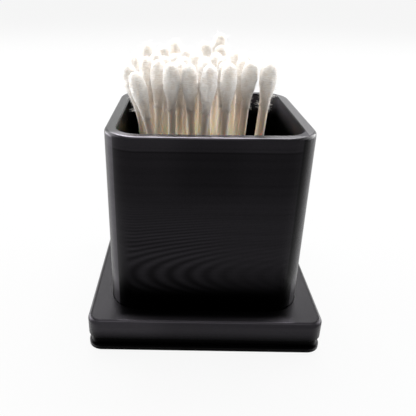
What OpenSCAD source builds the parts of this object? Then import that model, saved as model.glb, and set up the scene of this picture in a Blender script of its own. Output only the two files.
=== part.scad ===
// Cotton swab holder: an open square cup that stands in a shallow seat on a wider square base,
// with a loose bunch of paper-stick cotton swabs in it.
// Z is up. The origin is the middle of the base's underside.

/* [Cup] */
// Outer width of the cup, flat to flat
cup_w = 64; // [60:0.5:72]
// Height of the rim above the top of the base
cup_rise = 59.8; // [50:0.2:61]
// Thickness of the cup's wall
cup_wall = 3.8; // [2.4:0.2:4.4]
// Thickness of the cup's floor
cup_floor = 3; // [1.5:0.5:5]
// Radius of the cup's upright corners, outside
cup_corner_r = 11; // [8:0.2:12]
// Round on the outer edge of the rim
rim_round = 1.1; // [0.4:0.1:1.6]
// Bevel on the inner edge of the rim, and on the edge under the cup
edge_bevel = 0.4; // [0.2:0.1:0.8]

/* [Base] */
// Width of the base, flat to flat
base_w = 77.5; // [77:0.5:96]
// Height of the base
base_h = 11.8; // [9:0.2:16]
// Radius of the base's upright corners
base_corner_r = 4.6; // [4:0.2:12]
// Round on the top edge of the base
base_top_round = 1.5; // [0.6:0.1:1.8]
// Depth of the seat that the cup stands in
seat_depth = 1.2; // [0.6:0.2:2.4]
// Gap between the cup and the wall of its seat
seat_gap = 0.2; // [0.1:0.05:0.4]
// Height of the foot lip under the shadow groove
lip_h = 2.1; // [1.4:0.1:3]
// Height of the shadow groove
groove_h = 2.2; // [1:0.1:3]
// Depth of the shadow groove in the four flat sides
groove_depth = 1.1; // [0.9:0.1:1.6]
// How much tighter the groove's corners are, so that it dies out round them
groove_tighten = 2.6; // [0:0.2:2.8]
// Bevel under the slab, over the groove
slab_bevel = 0.8; // [0.3:0.1:0.9]
// Bevel on the two edges of the foot lip
lip_bevel = 0.4; // [0.2:0.1:0.6]

/* [Swabs] */
// Length of a swab from tip to tip
swab_l = 76; // [74:0.5:84]
// Diameter of the paper stick
stick_d = 2.4; // [2:0.1:2.8]
// Diameter of a cotton bud at its widest
bud_d = 5; // [4.4:0.1:5.4]
// Length of a cotton bud
bud_l = 14.5; // [12:0.5:16]
// Radius of a bud's round end
bud_tip_r = 2.2; // [1.8:0.1:2.2]
// Distance from a bud's end to its widest place
bud_crown = 5; // [4:0.5:7]
// Thickness of the cotton where a bud ends on its stick
bud_edge = 0.15; // [0.05:0.05:0.3]
// Gap between two buds that stand side by side
bud_gap = 0.2; // [0.1:0.05:0.4]

/* [Hidden] */
$fn = 64;
cut = 1; // how far a cut runs past the face that it opens

cup_z = base_h - seat_depth;
rim_z = base_h + cup_rise;
cup_h = rim_z - cup_z;
floor_z = cup_z + cup_floor;
slab_z = lip_h + groove_h;
slab_h = base_h - slab_z;

// Each swab's end balls are placed in plan: [tip x, tip y, foot x, foot y, lift].
// The lift is how far a foot stands above the floor, on the shoulders of its neighbours.
// The places are drawn for buds set drawn_pitch apart in a hollow drawn_room wide.
// They spread with the real pitch, or with the hollow where the cup is wider.
drawn_pitch = 5.2;
drawn_room = 56.4;
bunch = max((bud_d + bud_gap) / drawn_pitch, (cup_w - 2 * cup_wall) / drawn_room);
SWABS = [
    // along the front, left to right
    [-22.5, -15.5,  -4.0, -22.5, 0],
    [-16.0,  -9.0, -16.5, -14.0, 0],
    [-12.0, -15.0, -10.5, -15.5, 0],
    [ -6.5, -15.0,  -2.5,  -9.5, 0],
    [ -0.5, -18.0,  -5.0, -16.5, 0],
    [  5.5, -15.0,   3.0, -15.0, 0],
    [ 12.5,  -9.5,   8.0, -10.0, 0],
    [ 18.5, -10.5,  13.5, -11.5, 0],
    // second row
    [-25.5,  -7.0,  -9.0,  -9.5, 0],
    [ -9.5,  -9.5,  -8.5,  -4.0, 0],
    [ -1.5,  -9.0,   2.5,  -6.0, 0],
    [  5.0,  -8.5,   3.5,  -0.5, 0],
    [-20.5,   0.5, -14.0,  -6.5, 0],
    [-14.5,  -2.0, -13.5,  -0.5, 0],
    [ 11.0,  -3.5,   8.5,  -4.0, 0],
    [ 19.0,  -4.5,  14.0,  -5.5, 0],
    // middle rows
    [-24.5,   6.5, -18.5,  -3.5, 0],
    [ -8.0,  -2.5,  -8.0,   1.5, 0],
    [ -1.5,  -1.5,  -2.5,   0.5, 0],
    [  5.0,   0.0,   6.0,   5.0, 0],
    [ 13.5,   6.5,  11.5,   1.5, 0],
    [-17.5,   6.5, -15.0,   5.0, 0],
    [-11.0,   5.0,  -9.0,   7.0, 0],
    [ -4.0,   6.5,  -3.0,   6.0, 0],
    [  3.0,   8.0,   3.0,  10.5, 0],
    // back rows
    [ 10.0,  12.5,   9.0,   9.5, 0],
    [-21.5,  21.5, -13.5,  11.0, 2.5],
    [-15.5,  18.0, -13.0,  16.5, 1.0],
    [-11.5,  23.0,  -8.5,  19.0, 2.5],
    [ -7.0,  18.0,  -8.0,  13.5, 0],
    [ -3.5,  13.0,  -2.5,  11.5, 0],
    [ -0.5,  21.5,  -2.5,  16.8, 2.0],
    [  5.0,  16.0,   2.8,  15.8, 1.5],
    [  5.0,  22.5,   1.5,  21.0, 5.0]
];

function two_digits(n) = n < 10 ? str("0", n) : str(n);
function swab_name(i) = str("swab_", two_digits(i + 1));

module printed_plastic() {
    color([0.15, 0.15, 0.16]) children();
}

// A block that is square in plan with round corners, swept from the section of its edge.
// The section is the child: it runs from x = 0, over a corner's centre, out to x = r.
module square_sweep(half, r, h) {
    reach = half - r;
    for (x = [-reach, reach], y = [-reach, reach])
        translate([x, y, 0]) rotate_extrude() children();
    for (side = [0 : 90 : 270])
        rotate(side) translate([reach, 0, 0]) rotate([90, 0, 0])
            linear_extrude(2 * reach, center = true) children();
    translate([-reach, -reach, 0]) cube([2 * reach, 2 * reach, h]);
}

// Section of an edge with a bevel below and a round above
module edge_section(r, h, bevel, round_r) {
    polygon([[0, 0], [r - bevel, 0], [r, bevel], [r, h - round_r], [0, h - round_r]]);
    square([r - round_r, h]);
    translate([r - round_r, h - round_r]) circle(round_r);
}

// Section of an edge with a bevel below and a bevel above
module bevel_section(r, h, bevel) {
    polygon([[0, 0], [r - bevel, 0], [r, bevel], [r, h - bevel], [r - bevel, h], [0, h]]);
}

// Section of the cup's hollow: straight walls that flare by the bevel at the rim
module hollow_section(r, h, bevel) {
    polygon([[0, 0], [r, 0], [r, h - bevel], [r + bevel, h], [r + bevel, h + cut], [0, h + cut]]);
}

module straight_section(r, h) {
    square([r, h]);
}

module cup() {
    half = cup_w / 2;
    inner_half = half - cup_wall;
    inner_r = cup_corner_r - cup_wall;
    hollow_h = rim_z - floor_z;
    printed_plastic() translate([0, 0, cup_z]) difference() {
        square_sweep(half, cup_corner_r, cup_h)
            edge_section(cup_corner_r, cup_h, edge_bevel, rim_round);
        translate([0, 0, cup_floor])
            square_sweep(inner_half, inner_r, hollow_h + cut)
                hollow_section(inner_r, hollow_h, edge_bevel);
    }
}

// The slab and the foot lip are one print, joined by a neck that the shadow groove goes round.
module base() {
    half = base_w / 2;
    neck_half = half - groove_depth;
    neck_r = base_corner_r - groove_tighten;
    seat_half = cup_w / 2 + seat_gap;
    seat_r = cup_corner_r + seat_gap;
    printed_plastic() difference() {
        union() {
            square_sweep(half, base_corner_r, lip_h)
                bevel_section(base_corner_r, lip_h, lip_bevel);
            translate([0, 0, slab_z])
                square_sweep(half, base_corner_r, slab_h)
                    edge_section(base_corner_r, slab_h, slab_bevel, base_top_round);
            translate([0, 0, lip_h / 2])
                square_sweep(neck_half, neck_r, slab_z)
                    straight_section(neck_r, slab_z);
        }
        translate([0, 0, cup_z])
            square_sweep(seat_half, seat_r, seat_depth + cut)
                straight_section(seat_r, seat_depth + cut);
    }
}

// Radius of a bud at a distance s from its end, past the round end:
// it swells to the crown, then sinks in one soft curve to the stick.
function bud_r(s) =
    s < bud_crown
        ? bud_tip_r + (bud_d / 2 - bud_tip_r) * sin(90 * (s - bud_tip_r) / (bud_crown - bud_tip_r))
        : let (thin = stick_d / 2 + bud_edge, t = (s - bud_crown) / (bud_l - bud_crown))
            thin + (bud_d / 2 - thin) * (1 + cos(180 * t)) / 2;

// Half section of one bud, its round end at the origin
module bud_section() {
    swell = [for (k = [0 : 3]) bud_tip_r + (bud_crown - bud_tip_r) * k / 3];
    sink = [for (k = [1 : 9]) bud_crown + (bud_l - bud_crown) * k / 9];
    outline = [for (s = concat(swell, sink)) [bud_r(s), s]];
    polygon(concat([[0, bud_tip_r]], outline, [[0, bud_l]]));
    translate([0, bud_tip_r]) intersection() {
        circle(bud_tip_r);
        translate([0, -bud_tip_r]) square([bud_tip_r, bud_tip_r]);
    }
}

// One swab, standing on its lower end ball and leaning from its foot to its tip
module swab(place) {
    foot = bunch * [place[2], place[3]];
    run = bunch * [place[0], place[1]] - foot;
    span = swab_l - 2 * bud_tip_r;
    lean = asin(norm(run) / span);
    heading = atan2(run[1], run[0]);
    color("white")
        translate([foot[0], foot[1], floor_z + bud_tip_r + place[4]])
            rotate([0, lean, heading])
                translate([0, 0, -bud_tip_r])
                    rotate_extrude() {
                        bud_section();
                        translate([0, swab_l]) mirror([0, 1]) bud_section();
                        translate([0, bud_tip_r]) square([stick_d / 2, span]);
                    }
}

base();
cup();
for (i = [0 : len(SWABS) - 1])
    swab(SWABS[i]);
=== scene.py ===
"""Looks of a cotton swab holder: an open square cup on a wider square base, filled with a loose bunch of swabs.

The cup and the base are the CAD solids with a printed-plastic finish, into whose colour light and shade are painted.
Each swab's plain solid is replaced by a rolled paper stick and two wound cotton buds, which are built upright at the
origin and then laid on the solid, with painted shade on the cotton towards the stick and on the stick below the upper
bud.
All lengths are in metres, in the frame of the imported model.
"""

from __future__ import annotations

import logging
import math
import random
from collections.abc import Callable, Iterator
from contextlib import contextmanager
from dataclasses import dataclass, field
from enum import Enum

import bmesh
import bpy
import numpy as np
from mathutils import Matrix, Vector


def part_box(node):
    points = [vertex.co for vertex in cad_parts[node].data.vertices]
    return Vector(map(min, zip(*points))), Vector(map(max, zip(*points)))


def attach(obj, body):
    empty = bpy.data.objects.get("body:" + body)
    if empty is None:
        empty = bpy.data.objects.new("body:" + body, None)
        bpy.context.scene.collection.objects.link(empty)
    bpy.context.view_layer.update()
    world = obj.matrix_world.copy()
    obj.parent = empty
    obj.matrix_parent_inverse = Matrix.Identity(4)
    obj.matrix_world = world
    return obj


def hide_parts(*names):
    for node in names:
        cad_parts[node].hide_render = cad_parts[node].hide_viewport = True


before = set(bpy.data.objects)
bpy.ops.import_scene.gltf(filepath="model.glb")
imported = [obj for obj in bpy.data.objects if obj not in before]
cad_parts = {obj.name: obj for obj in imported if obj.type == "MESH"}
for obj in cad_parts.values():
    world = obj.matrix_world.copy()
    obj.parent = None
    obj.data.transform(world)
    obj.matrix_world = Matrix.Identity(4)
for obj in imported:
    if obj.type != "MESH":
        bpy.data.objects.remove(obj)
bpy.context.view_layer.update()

log = logging.getLogger("swab_holder")

MM = 0.001
PLACE = "own_place"
Colour = tuple[float, float, float]
Number = "Socket | float"


class Socket:
    """The output of a shader node, with arithmetic that adds Math nodes to its board."""

    def __init__(self, board: Board, link: bpy.types.NodeSocket) -> None:
        """Keeps the board and the node's output."""
        self.board = board
        self.link = link

    def __add__(self, other: Number) -> Socket:
        """Sum with a value."""
        return self.board.math("ADD", self, other)

    def __radd__(self, other: float) -> Socket:
        """Sum with a number on the left."""
        return self.board.math("ADD", other, self)

    def __sub__(self, other: Number) -> Socket:
        """Difference from a value."""
        return self.board.math("SUBTRACT", self, other)

    def __rsub__(self, other: float) -> Socket:
        """A number less this value."""
        return self.board.math("SUBTRACT", other, self)

    def __mul__(self, other: Number) -> Socket:
        """Product with a value."""
        return self.board.math("MULTIPLY", self, other)

    def __rmul__(self, other: float) -> Socket:
        """Product with a number on the left."""
        return self.board.math("MULTIPLY", other, self)

    def __truediv__(self, other: Number) -> Socket:
        """Quotient by a value."""
        return self.board.math("DIVIDE", self, other)


class Board:
    """The node tree of one material or world, built by calls instead of by hand."""

    def __init__(self, owner: bpy.types.Material | bpy.types.World) -> None:
        """Empties the node tree of a new material or world.

        Args:
            owner: The material or the world.
        """
        self.owner = owner
        self.owner.use_nodes = True
        self.tree = self.owner.node_tree
        self.tree.nodes.clear()

    def node(self, kind: str, settings: dict | None = None, inputs: dict | None = None) -> bpy.types.Node:
        """Adds one node.

        Args:
            kind: The node's type, such as ShaderNodeMath.
            settings: Attributes to set first. The entry "stops" gives a colour ramp's (place, value) pairs.
            inputs: Values or sockets for the node's inputs, by name or by number.

        Returns:
            The node.
        """
        made = self.tree.nodes.new(kind)
        for name, value in (settings or {}).items():
            if name == "stops":
                elements = made.color_ramp.elements
                while len(elements) < len(value):
                    elements.new(0.5)
                for element, (place, tone) in zip(elements, value):
                    element.position = place
                    element.color = (tone, tone, tone, 1.0)
            else:
                setattr(made, name, value)
        for name, value in (inputs or {}).items():
            if isinstance(value, Socket):
                self.tree.links.new(value.link, made.inputs[name])
            elif isinstance(value, tuple) and len(value) == 3 and made.inputs[name].type == "RGBA":
                made.inputs[name].default_value = (*value, 1.0)
            else:
                made.inputs[name].default_value = value
        return made

    def out(
        self, kind: str, settings: dict | None = None, inputs: dict | None = None, output: int | str = 0
    ) -> Socket:
        """Adds one node and gives one of its outputs.

        Args:
            kind: The node's type.
            settings: Attributes to set first.
            inputs: Values or sockets for the node's inputs.
            output: The output's number or name.

        Returns:
            That output as a socket.
        """
        return Socket(self, self.node(kind, settings, inputs).outputs[output])

    def math(self, operation: str, *values: Number) -> Socket:
        """One Math node on one, two or three values."""
        return self.out("ShaderNodeMath", {"operation": operation}, dict(enumerate(values)))

    def split(self, vector: Socket) -> tuple[Socket, Socket, Socket]:
        """The X, Y and Z of a vector."""
        parts = self.node("ShaderNodeSeparateXYZ", inputs={0: vector})
        return tuple(Socket(self, parts.outputs[i]) for i in range(3))

    def stretch(self, vector: Socket, factors: Colour) -> Socket:
        """A vector times three factors, one for each axis."""
        return self.out("ShaderNodeVectorMath", {"operation": "MULTIPLY"}, {0: vector, 1: factors})

    def noise(self, vector: Socket, scale: float, detail: float = 2.0, roughness: float = 0.5) -> Socket:
        """Soft noise from 0 to 1.

        Args:
            vector: Where on the surface, in metres or stretched.
            scale: Lumps per metre of the vector.
            detail: How many finer layers it has.
            roughness: How strong the finer layers are.

        Returns:
            The noise as a socket.
        """
        inputs = {"Vector": vector, "Scale": scale, "Detail": detail, "Roughness": roughness}
        return self.out("ShaderNodeTexNoise", {"noise_dimensions": "3D"}, inputs)

    def ramp(self, value: Socket, low: float, high: float, bottom: float = 0.0, top: float = 1.0) -> Socket:
        """A smooth step from bottom to top as value goes from low to high."""
        inputs = {"Value": value, "From Min": low, "From Max": high, "To Min": bottom, "To Max": top}
        return self.out("ShaderNodeMapRange", {"interpolation_type": "SMOOTHSTEP"}, inputs)

    def band(self, value: Socket, low: float, high: float, soft: float) -> Socket:
        """A band that is 1 inside and 0 outside.

        Args:
            value: What is looked at.
            low: Where the band starts.
            high: Where it ends.
            soft: How far its edges take to change.

        Returns:
            The band as a socket.
        """
        rise = self.ramp(value, low - soft / 2, low + soft / 2)
        fall = self.ramp(value, high - soft / 2, high + soft / 2, 1.0, 0.0)
        return rise * fall

    def blend(self, share: Number, first: Socket | Colour, second: Socket | Colour) -> Socket:
        """A mix of two colours, all first at share 0 and all second at share 1."""
        settings = {"data_type": "RGBA"}
        return self.out("ShaderNodeMix", settings, {0: share, 6: first, 7: second}, 2)

    def bump(self, height: Socket, depth: float, strength: float = 1.0, below: Socket | None = None) -> Socket:
        """The normal of a surface with this relief.

        Args:
            height: The relief, from 0 to 1.
            depth: How high a relief of 1 is, in metres.
            strength: How much of it shows.
            below: The normal it is laid on, or None for the plain surface.

        Returns:
            The normal.
        """
        inputs = {"Height": height, "Distance": depth, "Strength": strength}
        if below is not None:
            inputs["Normal"] = below
        return self.out("ShaderNodeBump", inputs=inputs)

    def finish(self, shader: Socket) -> bpy.types.Material | bpy.types.World:
        """Leads a shader to the output.

        Args:
            shader: The shader or the background.

        Returns:
            The material or the world.
        """
        kind = "World" if isinstance(self.owner, bpy.types.World) else "Material"
        self.node(f"ShaderNodeOutput{kind}", inputs={"Surface": shader})
        return self.owner


class Facing(Enum):
    """How square to a direction a face stands where it starts to count as turned that way, and where it fully does."""

    UP = (0.80, 0.95)
    FRONT = (-0.85, -0.98)
    CORNER = (0.69, 0.72)


@dataclass(frozen=True)
class PrintedPlastic:
    """Charcoal plastic laid down by a printer in thin level layers, with a satin sheen.

    It only mirrors: its base colour is the small share of light that it sends back where it is seen square on.
    """

    name: str
    colour: Colour = (0.0077, 0.0072, 0.0082)
    brightest: float = 32.0
    layer: float = 0.2 * MM
    raster: float = 0.45 * MM
    roughness: float = 0.30

    def shade(self, board: Board, place: Socket, normal: Socket) -> tuple[Socket | float, Socket | float]:
        """How the plastic differs from place to place, which is not at all here.

        Args:
            board: The material's nodes.
            place: The place on the piece.
            normal: Where the face looks.

        Returns:
            How many times its colour it has, and how much rougher it is.
        """
        return 1.0, 0.0

    def material(self) -> bpy.types.Material:
        """Builds this finish from nodes.

        Returns:
            The material, which reads the Object coordinates.
        """
        board = Board(bpy.data.materials.new(self.name))
        place = board.out("ShaderNodeTexCoord", output="Object")
        x, y, z = board.split(place)
        normal = board.out("ShaderNodeNewGeometry", output="Normal")
        up = board.ramp(board.split(normal)[2], *Facing.UP.value)

        layers = board.math("SINE", z * (2 * math.pi / self.layer)) * 0.5 + 0.5
        rows = board.math("SINE", (x + y) * (2 * math.pi / self.raster / math.sqrt(2))) * 0.5 + 0.5
        relief = layers * (1 - up) + rows * up
        bands = board.noise(board.stretch(place, (9.0, 9.0, 900.0)), 1.0, 3.0, 0.65)
        broad = board.noise(board.stretch(place, (18.0, 18.0, 170.0)), 1.0, 2.0, 0.5)
        grain = board.noise(place, 2600.0, 2.0, 0.6)
        blotch = board.noise(place, 60.0, 3.0, 0.5)

        # The subclasses' times carry painted light and shade into the colour, besides printed marks.
        times, rougher = self.shade(board, place, normal)
        tone = 0.58 + bands * 0.50 + broad * 0.28 + (grain - 0.5) * 0.55 * (1 - up)
        tone = tone * times
        paint = board.blend(tone / self.brightest, (0.0, 0.0, 0.0), tuple(self.brightest * c for c in self.colour))
        rough = self.roughness + (blotch - 0.5) * 0.08 + (bands - 0.5) * 0.08 * (1 - up) + rougher
        skin = board.bump(relief * 0.6 + bands * 0.4, 0.035 * MM, 0.6)
        skin = board.bump(grain, 0.02 * MM, 0.35, skin)
        inputs = {"Base Color": paint, "Roughness": rough, "Metallic": 1.0, "Normal": skin}
        return board.finish(board.out("ShaderNodeBsdfPrincipled", inputs=inputs))


@dataclass(frozen=True)
class CupPlastic(PrintedPlastic):
    """The cup's plastic: a ring at the rim with a painted reflection, a lighter collar below it, a hollow with painted
    shade, arched bands low on the front, and painted light and shade on the outer walls.
    """

    rim: float = 71.6 * MM
    ring: float = 0.5 * MM
    collar: float = 4.1 * MM
    hollow: float = 28.5 * MM
    bands_z: float = 26.0 * MM
    bands_x: float = -32.5 * MM
    bands_width: float = 5.9 * MM
    bands_curve: float = 160.0
    bands_reach: float = 20.0 * MM

    def arches(self, board: Board, x: Socket, z: Socket) -> Socket:
        """The arched bands that the layers show where they beat against each other.

        Args:
            board: The material's nodes.
            x: Place across the front.
            z: Height.

        Returns:
            A change of tone from -1 to 1, which fades upwards and to the right.
        """
        rise = z - self.bands_z
        slow = (rise / self.bands_reach) * (rise / self.bands_reach) + 1
        wave = (rise * rise * self.bands_curve - (x - self.bands_x) / slow) / self.bands_width
        right = board.ramp(x, -8 * MM, 12 * MM, 1.0, 0.2)
        high = board.ramp(z, 34 * MM, 56 * MM, 1.0, 0.0)
        return board.math("COSINE", wave * (2 * math.pi)) * right * high

    def outside(self, board: Board, place: Socket, normal: Socket) -> Socket:
        """How many times its colour the cup has on its outer walls, which holds painted light and shade besides the
        collar and the arched bands.

        Args:
            board: The material's nodes.
            place: The place on the piece.
            normal: Where the face looks.

        Returns:
            The number of times.
        """
        x, _, z = board.split(place)
        looks_x, looks_y, _ = board.split(normal)
        front = board.ramp(looks_y, *Facing.FRONT.value)
        turned = board.ramp(board.math("ABSOLUTE", looks_x), *Facing.CORNER.value)
        # Painted light: lighter walls at mid height, and higher up on the left and on the right.
        lift = board.ramp(z, 60 * MM, 44 * MM) * board.ramp(z, 22 * MM, 34 * MM) * 0.85
        left = board.ramp(x, -4 * MM, -16 * MM) * board.ramp(z, 46 * MM, 60 * MM) * 0.40
        right = board.ramp(x, 4 * MM, 14 * MM) * board.ramp(z, 46 * MM, 58 * MM) * 0.20
        # Mask low on the walls, for painted shade at the foot and painted highlights on the corners there.
        low = board.ramp(z, 25.5 * MM, 17.5 * MM)
        times = (1 + lift + left + right) * (1 + self.arches(board, x, z) * front * 0.38)
        collar = board.band(z, self.rim - self.collar, self.rim - self.ring, 0.6 * MM)
        under = board.band(z, self.rim - self.collar - 0.5 * MM, self.rim - self.collar, 0.3 * MM)
        times = times * (1 + collar * 0.60) * (1 - under * 0.25)
        # Painted shade on the right corner where it turns to the front, and at the foot of the walls that do not turn
        # to the side.
        right_corner = board.band(looks_x, 0.50, 0.71, 0.06) * board.ramp(looks_y, 0.0, -0.2)
        times = times * (1 - low * (1 - turned)) * (1 - 0.8 * right_corner)
        # Painted highlights on the left corner, and on both corners low down.
        bright = board.band(looks_x, -0.90, -0.705, 0.03) * 5.5
        bright = bright + turned * board.ramp(board.math("ABSOLUTE", looks_x), 0.97, 0.85) * low * 7.0
        return times + bright * board.ramp(looks_y, 0.0, -0.2)

    def shade(self, board: Board, place: Socket, normal: Socket) -> tuple[Socket | float, Socket | float]:
        """How the cup's plastic differs from place to place, with a painted reflection on the ring and painted light
        and shade in the hollow and on the outer walls.

        Args:
            board: The material's nodes.
            place: The place on the piece.
            normal: Where the face looks.

        Returns:
            How many times its colour it has, and how much rougher it is.
        """
        x, y, z = board.split(place)
        across = board.math("MAXIMUM", board.math("ABSOLUTE", x), board.math("ABSOLUTE", y))
        hollow = board.ramp(across, self.hollow + 0.1 * MM, self.hollow - 0.1 * MM)
        # Painted shade in the hollow: dark deep down, lighter towards the rim and more so on the right.
        depth = board.ramp(z, self.rim - 9.0 * MM, self.rim - 0.2 * MM)
        inside = 0.1 + depth * board.ramp(x, -4 * MM, 4 * MM, 2.0, 7.0)
        # Painted reflection on the ring's top: stronger to the right, and strongest at the front on the left.
        near = board.ramp(y, -25 * MM, -29 * MM)
        painted_rim_reflection = board.ramp(x, -26 * MM, 26 * MM, 0.1, 4.0) + near * board.ramp(x, 0 * MM, 18 * MM, 12.2, 0.2)
        looks_x, _, looks_z = board.split(normal)
        # The painted reflection is dimmed where the ring rounds over, and raised where the round begins.
        level = board.ramp(looks_z, 0.84, 0.96, 0.22, 1.0)
        brink = board.band(looks_z, 0.95, 0.995, 0.02)
        painted_rim_reflection = painted_rim_reflection * level * (1 + brink * 0.5)
        ring = board.ramp(z, self.rim - self.ring - 0.1 * MM, self.rim - self.ring + 0.1 * MM)
        walls = self.outside(board, place, normal) * (1 - hollow) + inside * hollow
        corner = board.band(looks_x, 0.40, 0.71, 0.06)
        right = board.ramp(x, 6 * MM, 16 * MM)
        return walls * (1 - ring) + painted_rim_reflection * ring, hollow * depth * right * 0.40 - corner * (1 - hollow) * 0.12


@dataclass(frozen=True)
class BasePlastic(PrintedPlastic):
    """The base's plastic: painted light on the slab's sides and a painted highlight on the top in front of the cup,
    over a groove and a foot lip darkened with painted shade.
    """

    slab: float = 4.3 * MM

    def shade(self, board: Board, place: Socket, normal: Socket) -> tuple[Socket | float, Socket | float]:
        """How the base's plastic differs from place to place, with painted light and shade.

        Args:
            board: The material's nodes.
            place: The place on the piece.
            normal: Where the face looks.

        Returns:
            How many times its colour it has, and how much rougher it is.
        """
        x, y, z = board.split(place)
        up = board.ramp(board.split(normal)[2], *Facing.UP.value)
        # Painted light on the slab's sides, lighter towards the top and the left; below the slab, the groove and the
        # foot lip get painted shade and stay nearly black.
        side = board.ramp(z, self.slab + 0.2 * MM, self.slab + 4.4 * MM) * board.ramp(x, -8 * MM, -22 * MM, 3.0, 4.2)
        side = side + board.ramp(z, self.slab, self.slab - 0.4 * MM) * 0.1
        # Painted highlight on the top in front of the cup, along its front edge.
        before_cup = board.ramp(board.math("ABSOLUTE", x), 30 * MM, 25 * MM)
        glow = board.ramp(y, -33.5 * MM, -37.2 * MM) * board.ramp(y, -37.9 * MM, -37.6 * MM) * before_cup
        return side * (1 - up) + (1.0 + glow * 6.0) * up, glow * up * 0.15


@dataclass(frozen=True)
class WoundCotton:
    """White cotton fibre wound round the stick's end in fine uneven turns, darker towards the stick, partly where the
    paper shows through and partly as painted shade.
    """

    name: str = "wound_cotton"
    colour: Colour = (0.95, 0.915, 0.875)
    # Colour towards the stick: the paper showing through the thin cotton, and painted shade on the lower part of the
    # bud.
    thin: Colour = (0.76, 0.68, 0.60)
    pitch: float = 0.62 * MM
    glow: float = 0.7

    def material(self) -> bpy.types.Material:
        """Builds this finish from nodes.

        Returns:
            The material, which reads the piece's own place attribute.
        """
        board = Board(bpy.data.materials.new(self.name))
        place = board.out("ShaderNodeAttribute", {"attribute_name": PLACE}, output="Vector")
        x, y, z = board.split(place)
        angle = board.math("ARCTAN2", y, x) / (2 * math.pi)
        wander = board.noise(place, 420.0, 2.0, 0.5)
        turns = board.math("SINE", (z / self.pitch + angle + wander * 1.6) * (2 * math.pi)) * 0.5 + 0.5
        strands = board.noise(board.stretch(place, (800.0, 800.0, 4600.0)), 1.0, 3.0, 0.6)
        fluff = board.noise(place, 5200.0, 3.0, 0.7)
        lumps = board.noise(place, 700.0, 2.0, 0.5)
        height = turns * 0.05 + strands * 0.42 + fluff * 0.29 + lumps * 0.24
        # Painted shade: the cotton turns to the darker colour towards the stick, partly as paper showing through, and
        # the dips of the fibre relief are painted darker.
        pale = board.ramp(height, 0.40, 0.55, 0.42, 1.0) * board.ramp(z, 16.0 * MM, 6.0 * MM)
        skin = board.bump(height, 0.60 * MM, 1.0)
        shader = board.out(
            "ShaderNodeBsdfPrincipled",
            inputs={
                "Base Color": board.blend(pale, self.thin, self.colour),
                "Roughness": 0.95,
                "Specular IOR Level": 0.2,
                "Subsurface Weight": self.glow,
                "Subsurface Radius": (1.0, 0.97, 0.92),
                "Subsurface Scale": 2.2 * MM,
                "Sheen Weight": 0.8,
                "Sheen Roughness": 0.45,
                "Normal": skin,
            },
        )
        return board.finish(shader)


@dataclass(frozen=True)
class RolledPaper:
    """Uncoated paper rolled into a hard thin stick, with the faint seam of its edge running round it, and painted
    shade below the upper bud.
    """

    name: str = "rolled_paper"
    colour: Colour = (0.93, 0.87, 0.76)
    stain: Colour = (0.84, 0.76, 0.62)
    # Colour of the painted shade on the stick towards the upper bud.
    painted_neck_shade: Colour = (0.76, 0.68, 0.60)
    seam_pitch: float = 22.0 * MM
    glow: float = 0.8

    def material(self) -> bpy.types.Material:
        """Builds this finish from nodes.

        Returns:
            The material, which reads the piece's own place attribute.
        """
        board = Board(bpy.data.materials.new(self.name))
        place = board.out("ShaderNodeAttribute", {"attribute_name": PLACE}, output="Vector")
        x, y, z = board.split(place)
        angle = board.math("ARCTAN2", y, x) / (2 * math.pi)
        turn = board.math("SINE", (z / self.seam_pitch + angle) * (2 * math.pi))
        seam = board.band(turn, 0.985, 1.2, 0.02)
        grain = board.noise(board.stretch(place, (2600.0, 2600.0, 500.0)), 1.0, 3.0, 0.6)
        cloud = board.noise(board.stretch(place, (400.0, 400.0, 90.0)), 1.0, 2.0, 0.5)
        height = grain * 0.5 + (1 - seam) * 0.5
        shade = board.ramp(cloud, 0.35, 0.75) * 0.7 + seam * 0.5
        # Painted shade: the stick darkens just below the upper bud.
        painted_neck_shade = board.ramp(z, 50.0 * MM, 60.0 * MM)
        shader = board.out(
            "ShaderNodeBsdfPrincipled",
            inputs={
                "Base Color": board.blend(painted_neck_shade, board.blend(shade, self.colour, self.stain), self.painted_neck_shade),
                "Roughness": 0.7 + grain * 0.2,
                "Specular IOR Level": 0.35,
                "Subsurface Weight": self.glow,
                "Subsurface Radius": (1.0, 0.8, 0.55),
                "Subsurface Scale": 1.8 * MM,
                "Normal": board.bump(height, 0.05 * MM, 0.5),
            },
        )
        return board.finish(shader)


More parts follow.
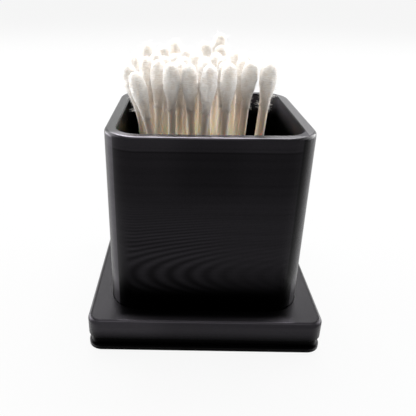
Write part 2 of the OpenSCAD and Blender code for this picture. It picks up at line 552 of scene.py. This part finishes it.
class Bench:
    """The modelling moves that the pieces share, as done by hand in edit mode."""

    @staticmethod
    def clear() -> None:
        """Deselects everything."""
        bpy.ops.object.select_all(action="DESELECT")

    @staticmethod
    def select(pieces: list[bpy.types.Object]) -> None:
        """Selects pieces alone.

        Args:
            pieces: The pieces, of which the first becomes the active one.
        """
        Bench.clear()
        for piece in pieces:
            piece.select_set(True)
        bpy.context.view_layer.objects.active = pieces[0]

    @staticmethod
    @contextmanager
    def edit(piece: bpy.types.Object) -> Iterator[None]:
        """Edit mode on one piece, with nothing selected in it at the start.

        Args:
            piece: The piece.
        """
        Bench.select([piece])
        bpy.ops.object.mode_set(mode="EDIT")
        bpy.ops.mesh.select_mode(type="VERT")
        bpy.ops.mesh.select_all(action="DESELECT")
        try:
            yield
        finally:
            bpy.ops.object.mode_set(mode="OBJECT")

    @staticmethod
    def pick(piece: bpy.types.Object, test: Callable[[Vector], bool]) -> None:
        """Selects the vertices whose place passes the test, and deselects the others.

        Args:
            piece: The piece in edit mode.
            test: Says whether a vertex at that place is wanted.
        """
        mesh = bmesh.from_edit_mesh(piece.data)
        for vertex in mesh.verts:
            vertex.select = bool(test(vertex.co))
        mesh.select_flush_mode()
        bmesh.update_edit_mesh(piece.data)

    @staticmethod
    def turned(name: str, rings: list[tuple[float, float]], sides: int, ends: tuple[float, float]) -> bpy.types.Object:
        """A round closed piece, made from a circle that is extruded up the axis and scaled at each ring.

        Args:
            name: The piece's name.
            rings: (height, radius) of each ring, from the lowest up.
            sides: How many sides the circle has.
            ends: Heights of the two points in which it closes.

        Returns:
            The piece.
        """
        height, radius = rings[0]
        Bench.clear()
        bpy.ops.mesh.primitive_circle_add(vertices=sides, radius=radius, location=(0, 0, height))
        piece = bpy.context.object
        piece.name = name
        bpy.ops.object.transform_apply(location=True, rotation=False, scale=False)
        with Bench.edit(piece):
            bpy.ops.mesh.select_all(action="SELECT")
            for next_height, next_radius in rings[1:]:
                step = (0, 0, next_height - height)
                bpy.ops.mesh.extrude_region_move(TRANSFORM_OT_translate={"value": step})
                share = next_radius / radius
                bpy.ops.transform.resize(value=(share, share, 1), center_override=(0, 0, next_height))
                height, radius = next_height, next_radius
            bpy.ops.mesh.extrude_region_move(TRANSFORM_OT_translate={"value": (0, 0, ends[1] - height)})
            bpy.ops.mesh.merge(type="CENTER")
            first = rings[0][0]
            Bench.pick(piece, lambda co: abs(co.z - first) < 1e-7)
            bpy.ops.mesh.extrude_region_move(TRANSFORM_OT_translate={"value": (0, 0, ends[0] - first)})
            bpy.ops.mesh.merge(type="CENTER")
            bpy.ops.mesh.select_all(action="SELECT")
            bpy.ops.mesh.normals_make_consistent(inside=False)
        return piece

    @staticmethod
    def copy(piece: bpy.types.Object, name: str, place: Matrix | None = None) -> bpy.types.Object:
        """A copy of a piece with its own mesh, moved in its mesh.

        Args:
            piece: The piece to copy.
            name: The copy's name.
            place: The turn and move that its mesh takes, or None.

        Returns:
            The copy.
        """
        twin = piece.copy()
        twin.data = piece.data.copy()
        twin.name = name
        twin.data.name = name
        if place is not None:
            twin.data.transform(place)
        bpy.context.scene.collection.objects.link(twin)
        return twin

    @staticmethod
    def join(pieces: list[bpy.types.Object], name: str) -> bpy.types.Object:
        """Joins pieces into the first of them.

        Args:
            pieces: The pieces.
            name: The joined piece's name.

        Returns:
            The joined piece.
        """
        Bench.select(pieces)
        if len(pieces) > 1:
            bpy.ops.object.join()
        pieces[0].name = name
        pieces[0].data.name = name
        return pieces[0]

    @staticmethod
    def remember_place(piece: bpy.types.Object) -> None:
        """Writes each vertex's place into the piece's own attribute, for its material to read.

        Args:
            piece: The piece, while it still stands at the origin.
        """
        mesh = piece.data
        old = mesh.attributes.get(PLACE)
        if old is not None:
            mesh.attributes.remove(old)
        flat = np.zeros(len(mesh.vertices) * 3, np.float32)
        mesh.vertices.foreach_get("co", flat)
        mesh.attributes.new(PLACE, "FLOAT_VECTOR", "POINT").data.foreach_set("vector", flat)

    @staticmethod
    def smooth(piece: bpy.types.Object, degrees: float = 50.0) -> None:
        """Smooth shading that leaves edges sharper than this."""
        Bench.select([piece])
        bpy.ops.object.shade_smooth_by_angle(angle=math.radians(degrees))

    @staticmethod
    def lump(piece: bpy.types.Object, size: float, depth: float) -> None:
        """Pushes a surface in and out in soft uneven lumps.

        Args:
            piece: The piece.
            size: How wide a lump is.
            depth: How far the surface moves between the lowest and the highest place.
        """
        clouds = bpy.data.textures.new(piece.name + "_lumps", "CLOUDS")
        clouds.noise_scale = size
        clouds.noise_depth = 1
        push = piece.modifiers.new("lumps", "DISPLACE")
        push.texture = clouds
        push.texture_coords = "LOCAL"
        push.strength = depth
        push.mid_level = 0.5
        Bench.select([piece])
        bpy.ops.object.modifier_apply(modifier=push.name)

    @staticmethod
    def discard(pieces: list[bpy.types.Object]) -> None:
        """Removes pieces that only served as patterns."""
        for piece in pieces:
            bpy.data.objects.remove(piece, do_unlink=True)


class BudEnd(Enum):
    """The two ends of a swab."""

    UPPER = "upper"
    LOWER = "lower"


@dataclass
class CottonBud:
    """A wound cotton bud, standing with its round end down at the origin."""

    length: float = 14.5 * MM
    tip_r: float = 2.2 * MM
    widest: float = 2.5 * MM
    crown: float = 5.0 * MM
    stick_r: float = 1.2 * MM
    edge: float = 0.04 * MM
    tip_turns: tuple[float, ...] = (0.16, 0.36, 0.58, 0.80, 1.02, 1.24, 1.44)
    sides: int = 28
    ring_step: float = 0.34 * MM
    strands: int = 400
    seed: int = 1

    def radius(self, s: float) -> float:
        """The bud's radius at a distance from its round end's tip.

        Args:
            s: That distance.

        Returns:
            The radius, with the same curve as the CAD solid.
        """
        if s < self.tip_r:
            return math.sqrt(max(0.0, self.tip_r**2 - (self.tip_r - s) ** 2))
        if s < self.crown:
            share = (s - self.tip_r) / (self.crown - self.tip_r)
            return self.tip_r + (self.widest - self.tip_r) * math.sin(math.pi / 2 * share)
        thin = self.stick_r + self.edge
        t = (s - self.crown) / (self.length - self.crown)
        return thin + (self.widest - thin) * (1 + math.cos(math.pi * t)) / 2

    def body(self, dice: random.Random) -> bpy.types.Object:
        """The bud's own surface, with uneven turns of cotton and soft lumps.

        Args:
            dice: The seeded source of the unevenness.

        Returns:
            The piece.
        """
        rings = [(self.tip_r * (1 - math.cos(a)), self.tip_r * math.sin(a)) for a in self.tip_turns]
        count = int((self.length - self.tip_r) / self.ring_step)
        for k in range(1, count + 1):
            s = self.tip_r + (self.length - self.tip_r) * k / count
            turn = dice.uniform(-0.03, 0.03) * MM
            rings.append((s, self.radius(s) + turn))
        piece = Bench.turned("bud_body", rings, self.sides, (0.0, self.length))
        Bench.lump(piece, 1.5 * MM, 0.34 * MM)
        Bench.lump(piece, 0.4 * MM, 0.12 * MM)
        return piece

    def strand(self, long: float, thick: float, bend: float) -> bpy.types.Object:
        """One loose fibre that leaves the origin upwards and bends towards X.

        Args:
            long: Its length.
            thick: Its radius at the root.
            bend: How far its end has turned, in radians.

        Returns:
            The closed three-sided piece.
        """
        Bench.clear()
        bpy.ops.mesh.primitive_circle_add(vertices=3, radius=thick)
        piece = bpy.context.object
        steps = 4
        with Bench.edit(piece):
            bpy.ops.mesh.select_all(action="SELECT")
            bpy.ops.mesh.edge_face_add()
            for k in range(steps):
                turn = bend * (k + 0.5) / steps
                step = long / steps
                move = (math.sin(turn) * step, 0, math.cos(turn) * step)
                bpy.ops.mesh.extrude_region_move(TRANSFORM_OT_translate={"value": move})
                shrink = 0.86
                bpy.ops.transform.resize(value=(shrink, shrink, shrink))
            bpy.ops.mesh.merge(type="CENTER")
            bpy.ops.mesh.select_all(action="SELECT")
            bpy.ops.mesh.normals_make_consistent(inside=False)
        return piece

    def fluff(self, dice: random.Random) -> list[bpy.types.Object]:
        """Loose fibres that stand a little off the bud, most of them along its turns.

        Args:
            dice: The seeded source of their places.

        Returns:
            The fibres, as separate pieces.
        """
        patterns = [
            self.strand(1.5 * MM, 0.034 * MM, 1.5),
            self.strand(1.0 * MM, 0.038 * MM, 0.9),
            self.strand(2.1 * MM, 0.030 * MM, 2.2),
        ]
        made = []
        for k in range(self.strands):
            frayed = k % 6 == 0
            s = self.length - dice.uniform(0.0, 0.8) * MM if frayed else self.length * dice.random() ** 1.15
            s = max(s, 0.15 * MM)
            turn = dice.uniform(0, 2 * math.pi)
            out = Vector((math.cos(turn), math.sin(turn), 0.0))
            if s < self.tip_r:
                out = (out * self.radius(s) + Vector((0, 0, s - self.tip_r))).normalized()
            root = Vector((0, 0, max(s, self.tip_r))) + out * (self.tip_r if s < self.tip_r else self.radius(s))
            along = Vector((-math.sin(turn), math.cos(turn), 0.0)) * dice.choice((-1, 1))
            lift = dice.uniform(0.15, 1.20)
            axial = Vector((0, 0, dice.uniform(-0.5, 0.5) + (0.5 if frayed else 0.0)))
            up = (along + axial + out * lift).normalized()
            side = up.cross(out).normalized()
            curl = side.cross(up).normalized() * dice.choice((-1, -1, 1))
            basis = Matrix((curl, curl.cross(up) * -1, up)).transposed().to_4x4()
            place = Matrix.Translation(root - out * 0.04 * MM) @ basis
            size = dice.uniform(0.6, 1.25)
            made.append(Bench.copy(dice.choice(patterns), "fibre", place @ Matrix.Scale(size, 4)))
        Bench.discard(patterns)
        return made

    def build(self) -> bpy.types.Object:
        """Makes the bud and its loose fibres.

        Returns:
            Both as one piece.
        """
        dice = random.Random(self.seed)
        body = self.body(dice)
        piece = Bench.join([body, *self.fluff(dice)], "bud")
        Bench.remember_place(piece)
        Bench.smooth(piece, 75.0)
        return piece


@dataclass
class PaperStick:
    """The rolled paper stick between the two buds, standing upright with the swab's lower end at the origin."""

    radius: float = 1.2 * MM
    start: float = 3.0 * MM
    end: float = 73.0 * MM
    sides: int = 24

    def build(self) -> bpy.types.Object:
        """Makes the stick.

        Returns:
            The piece, whose closed ends lie inside the buds.
        """
        count = 14
        heights = [self.start + (self.end - self.start) * k / count for k in range(count + 1)]
        piece = Bench.turned("stick", [(h, self.radius) for h in heights], self.sides, (self.start, self.end))
        Bench.remember_place(piece)
        Bench.smooth(piece)
        return piece


@dataclass
class SwabBunch:
    """All the swabs of the bunch, each laid on the axis of its own CAD solid."""

    length: float = 76.0 * MM
    kinds: int = 4
    seed: int = 20
    sticks: list[bpy.types.Object] = field(default_factory=list)
    buds: dict[BudEnd, list[bpy.types.Object]] = field(default_factory=dict)

    def axis(self, node: str) -> tuple[Vector, Vector]:
        """Where a swab's solid lies.

        Args:
            node: The CAD node's name.

        Returns:
            Its lower end and its direction upwards.
        """
        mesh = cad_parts[node].data
        flat = np.zeros(len(mesh.vertices) * 3)
        mesh.vertices.foreach_get("co", flat)
        points = np.unique(flat.reshape(-1, 3).round(7), axis=0)
        centre = points.mean(0)
        _, _, rows = np.linalg.svd(points - centre, full_matrices=False)
        along = rows[0] * np.sign(rows[0][2])
        reach = (points - centre) @ along
        middle = centre + along * (reach.max() + reach.min()) / 2
        foot = middle - along * self.length / 2
        return Vector(foot), Vector(along)

    def patterns(self) -> None:
        """Builds the stick and the few kinds of bud once, to be copied."""
        self.sticks = [PaperStick().build()]
        self.buds[BudEnd.UPPER] = [CottonBud(seed=11 + k).build() for k in range(self.kinds)]
        plain = {"sides": 20, "ring_step": 0.6 * MM, "strands": 40}
        self.buds[BudEnd.LOWER] = [CottonBud(seed=31 + k, **plain).build() for k in range(2)]

    def lay(self, node: str, dice: random.Random, cotton: bpy.types.Material, paper: bpy.types.Material) -> None:
        """Copies a stick and two buds, lays them on the solid and puts them in its place.

        Args:
            node: The CAD node of this swab.
            dice: The seeded source of the turns about its own axis.
            cotton: The buds' material.
            paper: The stick's material.
        """
        foot, along = self.axis(node)
        stand = Matrix.Translation(foot) @ along.to_track_quat("Z", "Y").to_matrix().to_4x4()
        flip = Matrix.Translation((0, 0, self.length)) @ Matrix.Rotation(math.pi, 4, "X")
        made = []
        for end, pose in ((BudEnd.LOWER, Matrix.Identity(4)), (BudEnd.UPPER, flip)):
            spin = Matrix.Rotation(dice.uniform(0, 2 * math.pi), 4, "Z")
            pattern = dice.choice(self.buds[end])
            made.append(Bench.copy(pattern, f"{node}_{end.value}_bud", stand @ pose @ spin))
        buds = Bench.join(made, f"{node}_cotton")
        spin = Matrix.Rotation(dice.uniform(0, 2 * math.pi), 4, "Z")
        stick = Bench.copy(self.sticks[0], f"{node}_stick", stand @ spin)
        for piece, material, slot in ((buds, cotton, "cotton"), (stick, paper, "stick_paper")):
            piece.data.materials.clear()
            piece.data.materials.append(material)
            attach(piece, "root")
        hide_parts(node)

    def build(self) -> None:
        """Lays every swab and reports each."""
        self.patterns()
        cotton = WoundCotton().material()
        paper = RolledPaper().material()
        dice = random.Random(self.seed)
        nodes = sorted(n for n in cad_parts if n.startswith("swab_"))
        for node in nodes:
            self.lay(node, dice, cotton, paper)
            log.info("laid %s", node)
        Bench.discard([*self.sticks, *self.buds[BudEnd.UPPER], *self.buds[BudEnd.LOWER]])


class PrintedBody:
    """The cup and the base, which keep their CAD shape."""

    def dress(self, node: str, finish: PrintedPlastic) -> None:
        """Gives one CAD node its finish.

        Args:
            node: The node's name.
            finish: Its plastic.
        """
        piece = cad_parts[node]
        material = finish.material()
        if not piece.data.materials:
            piece.data.materials.append(None)
        for slot in piece.material_slots:
            slot.link = "OBJECT"
            slot.material = material
        log.info("dressed %s", node)

    def build(self) -> None:
        """Dresses the cup and the base."""
        self.dress("cup", CupPlastic("printed_cup", rim=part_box("cup")[1].z))
        self.dress("base", BasePlastic("printed_base"))


@dataclass(frozen=True)
class Softbox:
    """A square soft lamp that looks at the object."""

    name: str
    place: tuple[float, float, float]
    size: float
    watts: float

    def build(self) -> None:
        """Hangs the lamp."""
        data = bpy.data.lights.new(self.name, "AREA")
        data.shape = "SQUARE"
        data.size = self.size
        data.energy = self.watts
        holder = bpy.data.objects.new(self.name, data)
        aim = Vector((0, 0, 0.05)) - Vector(self.place)
        holder.matrix_world = Matrix.Translation(self.place) @ aim.to_track_quat("-Z", "Y").to_matrix().to_4x4()
        bpy.context.scene.collection.objects.link(holder)


@dataclass
class Studio:
    """A white floor and sky, soft lamps and the camera at the photograph's angle."""

    eye: tuple[float, float, float] = (-8.583 * MM, -161.404 * MM, 111.503 * MM)
    right: tuple[float, float, float] = (0.9998741, 0.0124564, 0.0098280)
    up: tuple[float, float, float] = (-0.0142411, 0.4314349, 0.9020317)
    lens: float = 41.17
    shift: tuple[float, float] = (0.0743, 0.0012)
    white: float = 0.957
    sky: float = 0.20
    floor_white: float = 0.72
    floor_shadow: float = 0.05
    lamps: tuple[Softbox, ...] = (
        Softbox("softbox_top", (0.0, 0.05, 0.95), 0.8, 5.0),
        Softbox("softbox_back", (0.0, 0.55, 0.75), 0.7, 12.0),
        Softbox("softbox_left", (-0.8, 0.35, 0.35), 0.8, 13.0),
        Softbox("softbox_right", (0.8, 0.35, 0.35), 0.8, 13.0),
    )

    def camera(self) -> None:
        """The scene's camera."""
        data = bpy.data.cameras.new("camera")
        data.sensor_width = 36.0
        data.lens = self.lens
        data.shift_x, data.shift_y = self.shift
        data.clip_start, data.clip_end = 0.01, 50.0
        holder = bpy.data.objects.new("camera", data)
        right, up = Vector(self.right), Vector(self.up)
        back = right.cross(up)
        turn = Matrix((right, up, back)).transposed()
        holder.matrix_world = Matrix.Translation(self.eye) @ turn.to_4x4()
        bpy.context.scene.collection.objects.link(holder)
        bpy.context.scene.camera = holder

    def seen(self, board: Board) -> Socket:
        """Which rays see the white of the studio.

        Args:
            board: The nodes of the floor or the sky.

        Returns:
            1 for camera, mirror and glass rays, and 0 for rays that carry light.
        """
        path = board.node("ShaderNodeLightPath")
        rays = [Socket(board, path.outputs[f"Is {kind} Ray"]) for kind in ("Camera", "Glossy", "Transmission")]
        return board.math("MAXIMUM", board.math("MAXIMUM", rays[0], rays[1]), rays[2])

    def floor(self) -> None:
        """The floor, which shows white and keeps a weak shadow."""
        Bench.clear()
        bpy.ops.mesh.primitive_plane_add(size=12.0)
        floor = bpy.context.object
        floor.name = "studio_floor"
        board = Board(bpy.data.materials.new("studio_white"))
        grey = (self.floor_white,) * 3
        matte = board.out("ShaderNodeBsdfDiffuse", inputs={"Color": grey})
        glow = board.out("ShaderNodeEmission", inputs={"Color": (self.white,) * 3, "Strength": 1.0})
        share = self.seen(board) * (1 - self.floor_shadow)
        mixed = board.out("ShaderNodeMixShader", inputs={0: share, 1: matte, 2: glow})
        floor.data.materials.append(board.finish(mixed))

    def world(self) -> None:
        """The sky, white where it is seen and softer where it lights."""
        board = Board(bpy.data.worlds.new("studio_sky"))
        inputs = {"Value": self.seen(board), "To Min": self.sky, "To Max": self.white}
        strength = board.out("ShaderNodeMapRange", inputs=inputs)
        sky = board.out("ShaderNodeBackground", inputs={"Color": (1.0, 1.0, 1.0), "Strength": strength})
        bpy.context.scene.world = board.finish(sky)

    def build(self) -> None:
        """Sets up the floor, the sky, the lamps and the camera."""
        scene = bpy.context.scene
        scene.view_settings.view_transform = "Standard"
        self.floor()
        self.world()
        for lamp in self.lamps:
            lamp.build()
        self.camera()
        log.info("set the studio")


def main() -> None:
    """Builds the pieces in order."""
    logging.basicConfig(level=logging.INFO, format="%(message)s")
    PrintedBody().build()
    SwabBunch().build()
    Studio().build()


if __name__ == "__main__":
    main()
